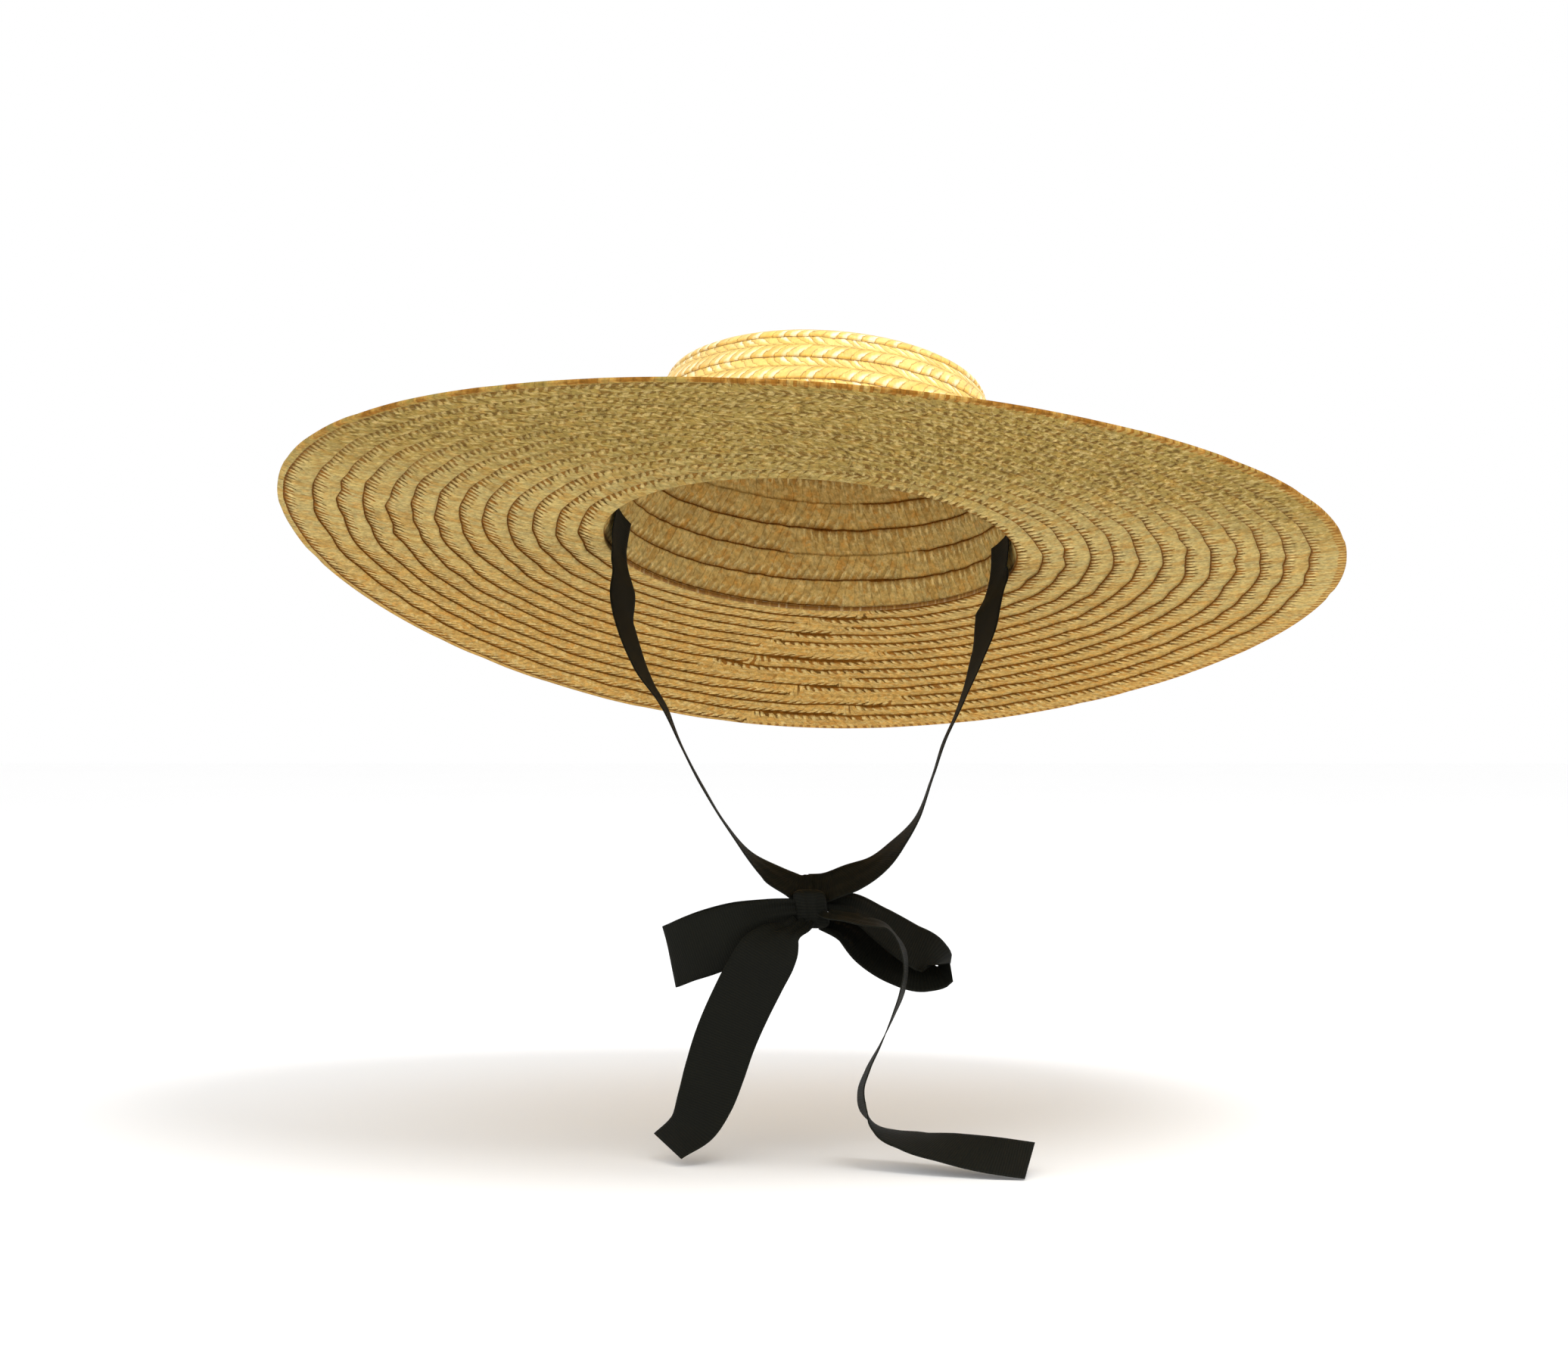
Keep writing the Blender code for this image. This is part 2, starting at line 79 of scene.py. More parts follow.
class Signal:
    # one value in a material: the operators add Math nodes, and node() adds any other node
    def __init__(self, tree, socket=None):
        self.tree = tree
        self.socket = socket

    def plug(self, target, value):
        if isinstance(value, Signal):
            self.tree.links.new(value.socket, target)
        else:
            target.default_value = value

    def node(self, kind, settings=None, values=None, out=0):
        made = self.tree.nodes.new(kind)
        for name, value in (settings or {}).items():
            setattr(made, name, value)
        for key, value in (values or {}).items():
            self.plug(made.inputs[key], value)
        return Signal(self.tree, made.outputs[out])

    def math(self, operation, *values):
        return self.node("ShaderNodeMath", {"operation": operation}, dict(enumerate(values)))

    def __add__(self, other):
        return self.math("ADD", self, other)

    def __radd__(self, other):
        return self.math("ADD", other, self)

    def __sub__(self, other):
        return self.math("SUBTRACT", self, other)

    def __rsub__(self, other):
        return self.math("SUBTRACT", other, self)

    def __mul__(self, other):
        return self.math("MULTIPLY", self, other)

    def __rmul__(self, other):
        return self.math("MULTIPLY", other, self)

    def __truediv__(self, other):
        return self.math("DIVIDE", self, other)

    def __gt__(self, other):
        return self.math("GREATER_THAN", self, other)

    def floor(self):
        return self.math("FLOOR", self)

    def fract(self):
        return self.math("FRACT", self)

    def abs(self):
        return self.math("ABSOLUTE", self)

    def smaller(self, other):
        return self.math("MINIMUM", self, other)

    def larger(self, other):
        return self.math("MAXIMUM", self, other)

    def wave(self):
        # 0 to 1 and back once for each whole number
        return self.math("SINE", self * math.tau) * 0.5 + 0.5

    def rise(self, low, high):
        # smooth step from 0 at low to 1 at high
        return self.node("ShaderNodeMapRange", {"interpolation_type": "SMOOTHSTEP"},
                         {"Value": self, "From Min": low, "From Max": high})

    def mix(self, first, second):
        # this value blends two colours; a plain one is three numbers
        first, second = [value if isinstance(value, Signal) else (*value, 1.0) for value in (first, second)]
        return self.node("ShaderNodeMix", {"data_type": "RGBA"}, {0: self, 6: first, 7: second}, out=2)

    def blend(self, first, second):
        # this value blends two numbers
        return self.node("ShaderNodeMix", {"data_type": "FLOAT"}, {0: self, 2: first, 3: second})

    def scaled(self, factor):
        # this colour times a number
        return self.node("ShaderNodeVectorMath", {"operation": "SCALE"}, {0: self, "Scale": factor})

    def parts(self):
        made = self.node("ShaderNodeSeparateXYZ", values={0: self})
        outputs = made.socket.node.outputs
        return [Signal(self.tree, outputs[i]) for i in range(3)]

    def joined(self, x, y, z=0.0):
        return self.node("ShaderNodeCombineXYZ", values={0: x, 1: y, 2: z})

    def uv(self, name):
        return self.node("ShaderNodeUVMap", {"uv_map": name}).parts()[:2]

    def place(self):
        return self.node("ShaderNodeTexCoord", out=3)

    def noise(self, vector, scale=1.0, detail=2.0, roughness=0.5):
        return self.node("ShaderNodeTexNoise", values={
            "Vector": vector, "Scale": scale, "Detail": detail, "Roughness": roughness})

    def speck(self, *values):
        # a number from 0 to 1, the same for the same whole numbers
        return self.node("ShaderNodeTexWhiteNoise", {"noise_dimensions": "3D"},
                         {"Vector": self.joined(*values)})


def newMaterial(name, roughness):
    material = bpy.data.materials.new(name)
    material.use_nodes = True
    shader = material.node_tree.nodes["Principled BSDF"]
    shader.inputs["Roughness"].default_value = roughness
    return material, shader, Signal(material.node_tree)


def painted(base, *coats):
    # each coat lays its colour over the ones before it, by its own amount
    for amount, colour in coats:
        base = amount.mix(base, colour)
    return base


def finishSurface(signal, shader, colour, roughness, height, look):
    # height runs from 0 to 1 and is worth the look's relief in metres
    signal.plug(shader.inputs["Base Color"], colour)
    signal.plug(shader.inputs["Roughness"], roughness)
    bump = signal.node("ShaderNodeBump", values={"Height": height, "Distance": look["relief"]})
    signal.plug(shader.inputs["Normal"], bump)
    shader.inputs["Specular IOR Level"].default_value = look["shine"]


# Meshes from grids

poleMerge = 0.000001


def gridPiece(name, points, uvName, uvs, closedAcross=False, poles=False, slotOf=None, farUvs=None):
    # points[i, j] is joined to its neighbours, and round along j; uvs has one more column, and one more row
    # where the grid also closes across; farUvs gives the far edge of each row of faces its own values
    rows, columns = points.shape[:2]
    i, j = np.meshgrid(np.arange(rows if closedAcross else rows - 1), np.arange(columns), indexing="ij")
    near, far = i * columns, (i + 1) % rows * columns
    left, right = j, (j + 1) % columns
    faces = np.stack([near + left, near + right, far + right, far + left], axis=-1)
    farEdge = uvs[1:] if farUvs is None else farUvs
    loopUvs = np.stack([uvs[i, j], uvs[i, j + 1], farEdge[i, j + 1], farEdge[i, j]], axis=2)
    mesh = bpy.data.meshes.new(name)
    mesh.from_pydata(points.reshape(-1, 3).tolist(), [], faces.reshape(-1, 4).tolist())
    layer = mesh.uv_layers.new(name=uvName)
    layer.data.foreach_set("uv", loopUvs.astype(np.float32).reshape(-1))
    if slotOf is not None:
        mesh.polygons.foreach_set("material_index", slotOf[i, j].astype(np.int32).reshape(-1))
    shape = bmesh.new()
    shape.from_mesh(mesh)
    if poles:
        bmesh.ops.remove_doubles(shape, verts=shape.verts, dist=poleMerge)
    bmesh.ops.recalc_face_normals(shape, faces=shape.faces)
    shape.to_mesh(mesh)
    shape.free()
    mesh.shade_smooth()
    piece = bpy.data.objects.new(name, mesh)
    bpy.context.scene.collection.objects.link(piece)
    return piece


def handOver(piece, node):
    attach(piece, "root")
    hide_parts(node)


# Straw

hat = {
    "tipBack": 16.6,
    "lean": 3.9,
    "brimRadius": 0.250,
    "headHalfWidth": 0.0976,
    "headHalfDepth": 0.0951,
    "crownHeight": 0.0825,
    "crownFlare": 0.0018,
    "crownLean": 0.003,
    "brimDroop": 0.018,
    "droopPower": 1.6,
    "rowWidth": 0.0168,
    "rowPitch": 0.0114,
    "crownRowPitch": 0.0131,
    "thickness": 0.0015,
    "lap": 0.0010,
    "clearance": 0.0003,
    "lastRow": 12,
    "rowEnd": 0.999,
    "edgeRound": 0.4,
    "seed": 7,
}
# lobes round the hat, cosine share, sine share
brimWaves = ((0, -0.52, 0.00), (1, 0.00, 0.05), (2, 0.49, 0.07), (3, -0.03, 0.07))
# reach as a share of the head's half width, rise as a share of the crown's height
crownSection = ((1.000, 0.00), (0.965, 0.20), (0.915, 0.42), (0.862, 0.62), (0.815, 0.78), (0.772, 0.90),
                (0.742, 0.955), (0.690, 0.980), (0.500, 0.992), (0.250, 0.998), (0.000, 1.00))
crownWide = hat["headHalfWidth"] + hat["crownFlare"]
crownFoot = hat["thickness"] / 2 + hat["lap"] * hat["crownFlare"] / hat["rowWidth"] + hat["clearance"]


def hatTurn():
    # tipped back round the wearer's sideways line, then leaned to one side
    lean = Matrix.Rotation(math.radians(hat["lean"]), 3, "Y")
    return np.array(lean @ Matrix.Rotation(math.radians(-hat["tipBack"]), 3, "X"))


def droopAt(angle, share):
    # droop times the sum of the waves round the hat, times share to the power
    edge = sum(c * np.cos(n * angle) + s * np.sin(n * angle) for n, c, s in brimWaves)
    return hat["brimDroop"] * edge * np.maximum(share, 0.0) ** hat["droopPower"]


def plaitUvs(counts, labels, around):
    # u counts plait cells round the hat, and v is the row's number plus the share of the way across it
    turns = np.arange(around + 1) / around
    return np.stack(np.broadcast_arrays(counts[:, None] * turns, labels[:, None]), axis=-1)


def kinkedEdges(count, cells, around, size, chance):
    # for each seam, a sideways offset drawn for each plait cell and joined by straight lines round the hat
    turns = np.arange(around) / around
    offsets = chance.uniform(-1.0, 1.0, (count, cells.max() + 1)) * size
    position = turns[None, :] * cells[:, None]
    low = np.floor(position).astype(int)
    share = position - low
    high = (low + 1) % cells[:, None]
    rows = np.arange(count)[:, None]
    return offsets[rows, low] * (1 - share) + offsets[rows, high] * share


brim = {
    "around": 570,
    "cellLength": 0.0138,
    "edgeWander": 0.0011,
    "puff": 0.0003,
    "underShares": (0.0, 0.05, 0.16, 0.34, 0.55, 0.76, 0.92, 1.0),
    "topShares": (0.0, 0.12, 0.50, 0.90, 1.0),
    "topCell": 0.0056,
    "rimWander": 0.6,
    "underRound": 0.45,
}


def makeBrim():
    # each row is a lapped band: reach grows evenly over its shares, and the free edge stands proud by the lap
    chance = np.random.default_rng(hat["seed"])
    width = hat["brimRadius"] - hat["headHalfWidth"]
    rows = round((width - hat["rowWidth"]) / hat["rowPitch"]) + 1
    pitch = (width - hat["rowWidth"]) / (rows - 1)
    half = hat["thickness"] / 2
    around = brim["around"]
    middle = hat["headHalfWidth"] + (np.arange(rows) + 0.5) * pitch
    cells = np.round(math.tau * middle / brim["cellLength"]).astype(int)
    topCells = np.round(math.tau * middle / brim["topCell"]).astype(int)
    seams = kinkedEdges(rows + 1, np.append(cells, cells[-1]), around, brim["edgeWander"], chance)
    seams[0] = 0.0
    seams[-1] *= brim["rimWander"]
    row = np.repeat(np.arange(rows), len(brim["underShares"]))
    share = np.tile(brim["underShares"], rows)
    start = row * pitch
    end = np.where(row < rows - 1, start + pitch, start + hat["rowWidth"])
    underReach = start + (end - start) * share
    underLap = hat["lap"] * (1 - share - brim["underRound"] * (share == 0.0))
    underHeight = -half - underLap - brim["puff"] * np.sin(math.pi * share)
    underWander = seams[row] * (1 - share)[:, None] + seams[row + 1] * share[:, None]
    topRow = np.repeat(np.arange(rows), len(brim["topShares"]))
    topShare = np.tile(brim["topShares"], rows)
    outer = topRow * pitch + hat["rowWidth"]
    shown = np.where(topRow > 0, outer - pitch, 0.0)
    topReach = shown + (outer - shown) * topShare
    topLap = hat["lap"] * (topRow < rows - 1) * (topShare - hat["edgeRound"] * (topShare == 1.0))
    topHeight = half + topLap + brim["puff"] * np.sin(math.pi * topShare)
    topWander = seams[topRow] * (1 - topShare)[:, None] + seams[topRow + 1] * topShare[:, None]
    reach = np.concatenate([underReach, topReach[::-1]])[:, None]
    reach = reach + np.concatenate([underWander, topWander[::-1]])
    height = np.concatenate([underHeight, topHeight[::-1]])[:, None]
    angle = (np.arange(around) / around * math.tau)[None, :]
    out = np.clip(reach, 0.0, width)
    across = (hat["headHalfWidth"] + out) * np.cos(angle)
    deeper = hat["headHalfDepth"] + out / width * (hat["brimRadius"] - hat["headHalfDepth"])
    along = deeper * np.sin(angle)
    points = np.stack([across, along, height + droopAt(angle, out / width)], axis=-1) @ hatTurn().T
    counts = np.concatenate([cells[row], topCells[topRow][::-1]])
    labels = np.concatenate([row + share * hat["rowEnd"], (topRow + topShare * hat["rowEnd"])[::-1]])
    counts = np.append(counts, counts[0])
    labels = np.append(labels, labels[0])
    slots = np.repeat((np.arange(len(reach)) >= len(row))[:, None], around, axis=1)
    # a face belongs to one row, so its far edge keeps the near edge's count of cells
    piece = gridPiece("brimStraw", points, "plait", plaitUvs(counts, labels, around), closedAcross=True,
                      slotOf=slots, farUvs=plaitUvs(counts[:-1], labels[1:], around))
    piece.data.materials.append(underStraw("brimUnderStraw"))
    piece.data.materials.append(outerStraw("brimTopStraw"))
    handOver(piece, "brim")
    print("brim:", len(piece.data.polygons), "faces,", rows, "rows")


crown = {
    "around": 420,
    "cellLength": 0.0056,
    "innerCell": 0.0138,
    "puff": 0.0004,
    "edgeWander": 0.0004,
    "outerShares": (0.0, 0.06, 0.22, 0.5, 0.78, 0.94, 1.0),
    "innerShares": (0.0, 0.06, 0.3, 0.6, 0.9, 1.0),
    "innerLap": 0.5,
    "innerPuff": 0.5,
    "fewestCells": 4,
    "fewestInner": 3,
    "ladder": 0.30,
    "stations": 600,
}


curveSteps = 40


def smoothRows(rows, count):
    # cubic through the rows, whose slopes are the neighbours' slopes weighted by distance, read evenly
    rows = np.asarray(rows, dtype=float)
    places = min(3, rows.shape[1])
    gap = np.linalg.norm(np.diff(rows[:, :places], axis=0), axis=1)[:, None]
    slope = np.diff(rows, axis=0) / gap
    between = (slope[:-1] * gap[1:] + slope[1:] * gap[:-1]) / (gap[1:] + gap[:-1])
    lean = np.vstack([slope[:1], between, slope[-1:]])
    t = np.linspace(0.0, 1.0, curveSteps, endpoint=False)[None, :, None]
    first, last = rows[:-1, None], rows[1:, None]
    fine = ((2 * t ** 3 - 3 * t ** 2 + 1) * first + (t ** 3 - 2 * t ** 2 + t) * (gap * lean[:-1])[:, None]
            + (3 * t ** 2 - 2 * t ** 3) * last + (t ** 3 - t ** 2) * (gap * lean[1:])[:, None])
    fine = np.vstack([fine.reshape(-1, rows.shape[1]), rows[-1:]])
    run = np.concatenate([[0.0], np.cumsum(np.linalg.norm(np.diff(fine[:, :places], axis=0), axis=1))])
    stations = np.linspace(0.0, run[-1], count)
    smooth = np.stack([np.interp(stations, run, column) for column in fine.T], axis=1)
    return smooth, run[-1]


def crownLine(stations):
    # reach and height along the section, from the top centre down, read evenly
    section = np.array(crownSection)[::-1]
    heights = crownFoot + section[:, 1] * (hat["crownHeight"] - crownFoot)
    return smoothRows(np.stack([section[:, 0] * crownWide, heights], axis=1), stations)


def makeCrown():
    # the section is followed from the top centre down; rows stand proud towards their lower edges
    chance = np.random.default_rng(hat["seed"] + 1)
    line, length = crownLine(crown["stations"])
    line[:, 0] = np.maximum(line[:, 0], 0.0)
    run = np.linspace(0.0, length, len(line))
    way = np.gradient(line, axis=0)
    way /= np.linalg.norm(way, axis=1)[:, None]
    rows = round(length / hat["crownRowPitch"])
    pitch = length / rows
    outerRow = np.repeat(np.arange(rows), len(crown["outerShares"]))
    outerShare = np.tile(crown["outerShares"], rows)
    innerRow = np.repeat(np.arange(rows), len(crown["innerShares"]))
    innerShare = np.tile(crown["innerShares"], rows)
    proud = hat["lap"] * (outerRow < rows - 1) * (outerShare - hat["edgeRound"] * (outerShare == 1.0))
    proud = proud + crown["puff"] * np.sin(math.pi * outerShare)
    innerLap = crown["innerLap"] * hat["lap"] * (1 - innerShare) * (innerRow > 0)
    innerPuff = crown["innerPuff"] * crown["puff"] * (1 - np.sin(math.pi * innerShare))
    sunk = innerPuff - hat["thickness"] - innerLap
    distance = np.concatenate([(outerRow + outerShare) * pitch, ((innerRow + innerShare) * pitch)[::-1]])
    away = np.concatenate([proud, sunk[::-1]])
    around = crown["around"]
    reachAt = np.interp((np.arange(rows) + 0.5) * pitch, run, line[:, 0])
    cells = np.round(math.tau * reachAt / crown["cellLength"])
    cells = np.maximum(cells, crown["fewestCells"]).astype(int)
    innerCells = np.round(math.tau * reachAt / crown["innerCell"])
    innerCells = np.maximum(innerCells, crown["fewestInner"]).astype(int)
    seams = kinkedEdges(rows + 1, np.append(cells, cells[-1]), around, crown["edgeWander"], chance)
    seams[0] = 0.0
    seams[-1] = 0.0
    labelRow = np.concatenate([outerRow, innerRow[::-1]])
    labelShare = np.concatenate([outerShare, innerShare[::-1]])
    wander = seams[labelRow] * (1 - labelShare)[:, None] + seams[labelRow + 1] * labelShare[:, None]
    wander[distance < 0.5 * pitch] = 0.0
    at = np.clip(distance[:, None] + wander, 0.0, length)
    reach = np.interp(at, run, line[:, 0])
    height = np.interp(at, run, line[:, 1])
    ways = np.stack([np.interp(at, run, way[:, 0]), np.interp(at, run, way[:, 1])], axis=-1)
    reach = np.maximum(reach - away[:, None] * ways[..., 1], 0.0) * (distance > 0.0)[:, None]
    height = height + away[:, None] * ways[..., 0]
    height = np.maximum(height, crownFoot)
    angle = (np.arange(around) / around * math.tau)[None, :]
    oval = (hat["headHalfDepth"] + hat["crownFlare"]) / crownWide
    x = reach * np.cos(angle) + hat["crownLean"] * height / hat["crownHeight"]
    points = np.stack([x, reach * oval * np.sin(angle), height], axis=-1) @ hatTurn().T
    counts = np.concatenate([cells[outerRow], innerCells[innerRow][::-1]])
    labels = labelRow + hat["rowEnd"] * labelShare
    slots = np.repeat((np.arange(len(labels)) >= len(outerRow))[:, None], around, axis=1)
    piece = gridPiece("crownStraw", points, "plait", plaitUvs(counts, labels, around), poles=True,
                      slotOf=slots, farUvs=plaitUvs(counts[:-1], labels[1:], around))
    piece.data.materials.append(outerStraw("crownOuterStraw"))
    piece.data.materials.append(underStraw("crownInnerStraw", crown["ladder"]))
    handOver(piece, "crown")
    print("crown:", len(piece.data.polygons), "faces,", rows, "rows")


under = {
    "pale": (0.560, 0.420, 0.150),
    "green": (0.480, 0.385, 0.155),
    "tan": (0.450, 0.270, 0.070),
    "orange": (0.560, 0.280, 0.060),
    "rust": (0.270, 0.105, 0.012),
    # seam colour: painted step shadow over the dark gap between rows
    "gap": (0.180, 0.066, 0.007),
    # painted highlights on the tooth crests and beside the dashes
    "paintedToothHighlight": (0.740, 0.560, 0.230),
    # painted shade in the ladder grooves and the front dashes, partly the straws' own brown
    "paintedGrooveShade": (0.110, 0.046, 0.004),
    # warm tone: painted light on the back rows, and the rim binding's own tone
    "warmBackLightAndRim": (0.600, 0.340, 0.085),
    # olive: painted shade over the front rows
    "paintedFrontShade": (0.310, 0.215, 0.048),
    "ladderShare": 0.44,
    "strawsInCell": 3,
    "slant": 0.45,
    "facetSlant": 0.9,
    "sideWander": 0.12,
    "sideSpan": (-0.010, 0.010),
    "rimSpan": (0.74, 0.80),
    "lumpSpan": (0.84, 0.90),
    # front and back spans, for painted shade in front and painted warm light behind
    "frontSpan": (-0.14, -0.02),
    "backSpan": (-0.02, 0.16),
    "grainScale": 430.0,
    "mottleScale": 95.0,
    "warmScale": 210.0,
    "knobScale": 75.0,
    "roughness": 0.60,
    "relief": 0.0008,
    "shine": 0.01,
}


def underStraw(name, ladder=1.0):
    # in each row a dark seam under a painted step shadow, then a ladder of folded straw ends with painted
    # shade and highlights, then flat straws laid across
    material, shader, s = newMaterial(name, under["roughness"])
    u, v = s.uv("plait")
    x, y = s.place().parts()[:2]
    row = v.floor()
    outward = v.fract()
    # to the viewer's left the share runs the other way across each row, so the seam and its painted step
    # shadow lie at the rows' outer edge
    side = s.speck(row, 5.0, 0.0) * under["sideWander"] - under["sideWander"] / 2
    left = (side - x).rise(*under["sideSpan"])
    last = v > hat["lastRow"]
    grown = 1.0 + last * (hat["rowWidth"] / hat["rowPitch"] - 1.0)
    share = left.blend(outward * grown, (1.0 - outward) * grown - last * 0.30)
    wobble = s.noise(s.joined(u * 2.4, row * 7.3), detail=3.0) - 0.5
    jag = s.noise(s.joined(u * 13.0, row * 3.1, share * 5.0), detail=2.0, roughness=0.7) - 0.5
    # front and back mask the brim's front and back rows, for painted shade in front and painted warm light
    # behind
    front = 1.0 - (y + wobble * 0.08).rise(*under["frontSpan"])
    back = (y + wobble * 0.10).rise(*under["backSpan"])
    hidden = share.rise(-0.04, 0.0)
    edge = share + wobble * 0.05 + jag * 0.06
    # the seam paints the proud step's shadow over the gap between rows
    seam = (1.0 - edge.rise(0.030, 0.085)) * hidden * (1.0 - front * 0.75)
    halo = (1.0 - edge.rise(0.06, 0.24)) * hidden * (1.0 - front * 0.7)
    tooth = u * under["strawsInCell"] + share * (left + under["slant"]) + wobble * 1.1 + jag * 0.55
    inTooth = tooth.fract()
    draw = s.speck(tooth.floor(), row, 7.0)
    length = under["ladderShare"] * (0.70 + s.speck(tooth.floor(), row, 8.0) * 0.65)
    half = 0.54 + draw * 0.26 - share / length * 0.46
    # strokes paint shade in the grooves of the ladder, partly the folded ends' own brown
    stroke = (1.0 - inTooth.rise(half - 0.10, half + 0.05)) * inTooth.rise(0.0, 0.06) * hidden
    stroke = stroke * (1.0 - share.rise(length * 0.85, length * 1.05))
    fade = s.noise(s.joined(u * 0.5, row * 5.7), detail=1.0).rise(0.30, 0.46) * 0.40 + 0.60
    stroke = stroke * fade * ladder * (1.0 - front * 0.35)
    # painted highlight on each tooth's crest
    paintedCrestHighlight = inTooth.rise(0.52, 0.70) * (1.0 - inTooth.rise(0.90, 1.0))
    paintedCrestHighlight = paintedCrestHighlight * (1.0 - share.rise(0.34, 0.46)) * hidden
    # dark dashes are gaps between straws, turning to painted shade towards the front; light dashes are
    # painted highlights
    dash = s.noise(s.joined(u * 3.4 + outward * 1.8, row * 9.1 + outward * 2.8), detail=2.0, roughness=0.6)
    dashDark = (1.0 - dash.rise(0.36, 0.45)) * hidden
    dashLight = dash.rise(0.54, 0.62) * hidden
    facetAt = u * under["strawsInCell"] + share * under["facetSlant"] + wobble * 1.2 + jag * 0.30 + 0.3
    facet = facetAt.floor()
    inFacet = facetAt.fract()
    crease = inFacet.smaller(1.0 - inFacet).rise(0.0, 0.08)
    tint = s.speck(facet, row, 1.0)
    tint2 = s.speck(facet, row, 2.0)
    fibre = s.noise(s.joined(facetAt * 5.0, share * 2.4, row * 1.7), detail=3.0, roughness=0.65)
    grain = s.noise(s.place(), scale=under["grainScale"], detail=2.0, roughness=0.65)
    mottle = s.noise(s.place(), scale=under["mottleScale"], detail=3.0)
    warm = s.noise(s.place(), scale=under["warmScale"], detail=2.0).rise(0.56, 0.66)
    knobs = s.noise(s.place(), scale=under["knobScale"], detail=2.0)
    # the rim is bound with folded straws on the viewer's right
    rim = last * outward.rise(*under["rimSpan"]) * (1.0 - left)
    lump = last * (outward + jag * 0.10).rise(*under["lumpSpan"])
    rimTooth = (u * under["strawsInCell"] * 1.1 + wobble * 0.5).fract()
    rimDark = (1.0 - rimTooth.rise(0.30, 0.45)) * rim
    dashColour = front.mix(under["orange"], under["paintedGrooveShade"])
    # strokes mix painted groove shade with rust at random, turning to painted shade towards the front
    strokeColour = (draw.rise(0.35, 0.75) * (1.0 - front * 0.8)).mix(under["paintedGrooveShade"], under["rust"])
    base = painted(
        tint.mix(under["pale"], under["green"]),
        ((tint2 + mottle * 0.5).rise(0.85, 1.20) * 0.75, under["tan"]),
        # painted warm light over the back rows and painted shade over the front ones
        (back * 0.70, under["warmBackLightAndRim"]),
        (front * 0.85, under["paintedFrontShade"]),
        ((1.0 - fibre.rise(0.32, 0.56)) * 0.45, under["tan"]),
        # the straw's own orange spots, stronger behind and weaker in front as painted light and shade
        (warm * (0.35 + back * 0.45) * (1.0 - front * 0.2), under["orange"]),
        ((1.0 - crease) * 0.38 * tint2, under["rust"]),
        (dashDark * (0.22 + front * 0.45 + back * 0.30), dashColour),
        (dashLight * (0.15 + front * 0.30 + back * 0.35), under["paintedToothHighlight"]),
        (paintedCrestHighlight * 0.75 * (1.0 - front * 0.55), under["paintedToothHighlight"]),
        (halo * 0.55, under["rust"]),
        (stroke * 0.95, strokeColour),
        (rim * 0.35, under["warmBackLightAndRim"]),
        (rimDark * 0.85, under["rust"]),
        (lump * (0.20 + front * 0.35) * knobs.rise(0.40, 0.52), under["orange"]),
        # painted shadow between the rim's lumps at the front
        (lump * front * knobs.rise(0.52, 0.60) * 0.8, under["rust"]),
        # painted step shadow along each seam
        (seam, under["gap"]))
    # and a little darker at the front, painted shade
    base = base.scaled((0.52 + mottle * 0.46 + grain.rise(0.25, 0.75) * 0.52) * (1.0 - front * 0.08))
    height = (0.60 + paintedCrestHighlight * 0.30 - stroke * 0.60 - seam * 0.25 - rimDark * 0.5 + (dash - 0.5) * 0.8
              + (fibre - 0.5) * 0.30 + (crease - 1.0) * 0.30 + (grain - 0.5) * 0.40)
    finishSurface(s, shader, base, under["roughness"] - 0.1 + mottle * 0.2, height, under)
    return material


outer = {
    "light": (0.900, 0.640, 0.200),
    "gold": (0.800, 0.500, 0.110),
    # near-white of the painted highlights on the straws
    "pale": (0.960, 0.860, 0.560),
    "edge": (0.420, 0.210, 0.040),
    "line": (0.300, 0.140, 0.030),
    "slant": 3.5,
    "slantCurve": 2.6,
    "grainScale": 430.0,
    "mottleScale": 120.0,
    "roughness": 0.40,
    "relief": 0.0012,
    "shine": 0.35,
}


